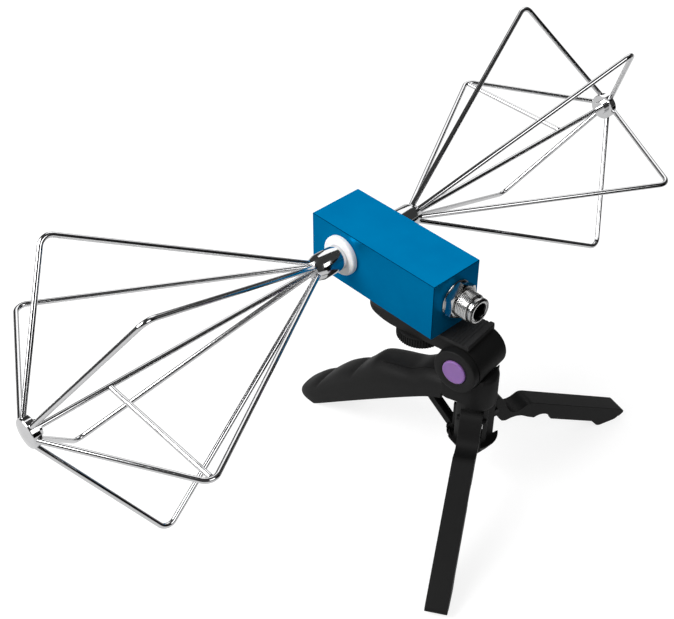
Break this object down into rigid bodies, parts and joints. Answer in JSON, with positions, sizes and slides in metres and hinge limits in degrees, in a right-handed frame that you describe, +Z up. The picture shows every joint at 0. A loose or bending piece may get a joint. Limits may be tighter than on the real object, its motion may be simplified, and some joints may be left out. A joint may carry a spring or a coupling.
{
  "type": "biconical antenna",
  "caption": "Biconical measuring antenna with bent-rod cage elements on a blue balun housing with a coaxial socket, on a black pistol-grip table tripod whose legs fold and head tilts.",
  "frame": {"origin": "on the floor under the middle of the bounding box", "axes": "+Z up, +Y along the antenna axis, +X along the housing toward the coaxial socket"},
  "size_m": [0.2298, 0.4412, 0.1919],
  "materials": {
    "blue_anodised": "satin anodised",
    "nickel": "bright nickel",
    "bright_rod": "bright plated",
    "zinc_steel": "zinc plated",
    "white_ptfe": "satin",
    "gold_contact": "gold plated",
    "board_green": "matte",
    "ferrite": "matte",
    "black_plastic": "matte, finely textured",
    "black_rubber": "matte",
    "purple_plastic": "satin"
  },
  "bodies": {
    "column": {"column": "black_plastic", "lower_hub": "black_plastic", "hub_screw": "zinc_steel", "tilt_pin": "zinc_steel", "button_spring": "zinc_steel", "grip_pin": "zinc_steel", "left_pin": "zinc_steel", "right_pin": "zinc_steel", "strut_pin": "zinc_steel"},
    "head": {"head_plate": "black_plastic", "plate_pad": "black_rubber", "housing": "blue_anodised", "base_plate": "blue_anodised", "connector_body": "nickel", "connector_nut": "nickel", "connector_washer": "nickel", "left_rod_1": "bright_rod", "left_rod_2": "bright_rod", "left_rod_3": "bright_rod", "left_rod_4": "bright_rod", "left_rod_5": "bright_rod", "left_rod_6": "bright_rod", "right_rod_1": "bright_rod", "right_rod_2": "bright_rod", "right_rod_3": "bright_rod", "right_rod_4": "bright_rod", "right_rod_5": "bright_rod", "right_rod_6": "bright_rod", "left_hub": "bright_rod", "left_cap": "bright_rod", "left_centre_rod": "bright_rod", "left_cross_rod": "bright_rod", "right_hub": "bright_rod", "right_cap": "bright_rod", "right_centre_rod": "bright_rod", "right_cross_rod": "bright_rod", "left_bush": "white_ptfe", "right_bush": "white_ptfe", "connector_insulator": "white_ptfe", "connector_pin": "gold_contact", "left_lead": "gold_contact", "right_lead": "gold_contact", "balun_board": "board_green", "balun_core": "ferrite", "base_screws": "zinc_steel", "left_stud_nut": "zinc_steel", "right_stud_nut": "zinc_steel"},
    "lock_button": {"lock_button": "purple_plastic"},
    "thumbwheel": {"thumbwheel": "black_plastic"},
    "grip_leg": {"grip_leg": "black_plastic"},
    "left_leg": {"left_leg": "black_plastic"},
    "right_leg": {"right_leg": "black_plastic"},
    "grip_strut": {"grip_strut": "black_plastic"}
  },
  "joints": [
    {"name": "head_tilt", "type": "hinge", "parent": "column", "child": "head", "pos_m": [0.04678, 0.00192, 0.084], "axis": [-0.1478, 0.989, 0], "range_deg": [0, 90]},
    {"name": "button_press", "type": "slide", "parent": "column", "child": "lock_button", "axis": [-0.1478, 0.989, 0], "range_m": [0, 0.0012], "stiffness_N_per_m": 1500, "springref_m": -0.0006},
    {"name": "wheel_spin", "type": "hinge", "parent": "head", "child": "thumbwheel", "pos_m": [0.01454, -0.0029, 0.087], "axis": [0, 0, 1], "continuous": true},
    {"name": "grip_leg_fold", "type": "hinge", "parent": "column", "child": "grip_leg", "pos_m": [0.04273, 0.00131, 0.0655], "axis": [0.1478, -0.989, 0], "range_deg": [0, 52]},
    {"name": "left_leg_fold", "type": "hinge", "parent": "column", "child": "left_leg", "pos_m": [0.05727, -0.00527, 0.049], "axis": [0.8406, 0.5417, 0], "range_deg": [0, 52]},
    {"name": "right_leg_fold", "type": "hinge", "parent": "column", "child": "right_leg", "pos_m": [0.05471, 0.01186, 0.049], "axis": [-0.9622, 0.2723, 0], "range_deg": [0, 52]},
    {"name": "strut_swing", "type": "hinge", "parent": "column", "child": "grip_strut", "pos_m": [0.04025, 0.00094, 0.0292], "axis": [0.1478, -0.989, 0], "range_deg": [-49.6, 0]}
  ],
  "couplings": [
    {"joint": "strut_swing", "follows": "grip_leg_fold", "ratio": -0.95}
  ]
}
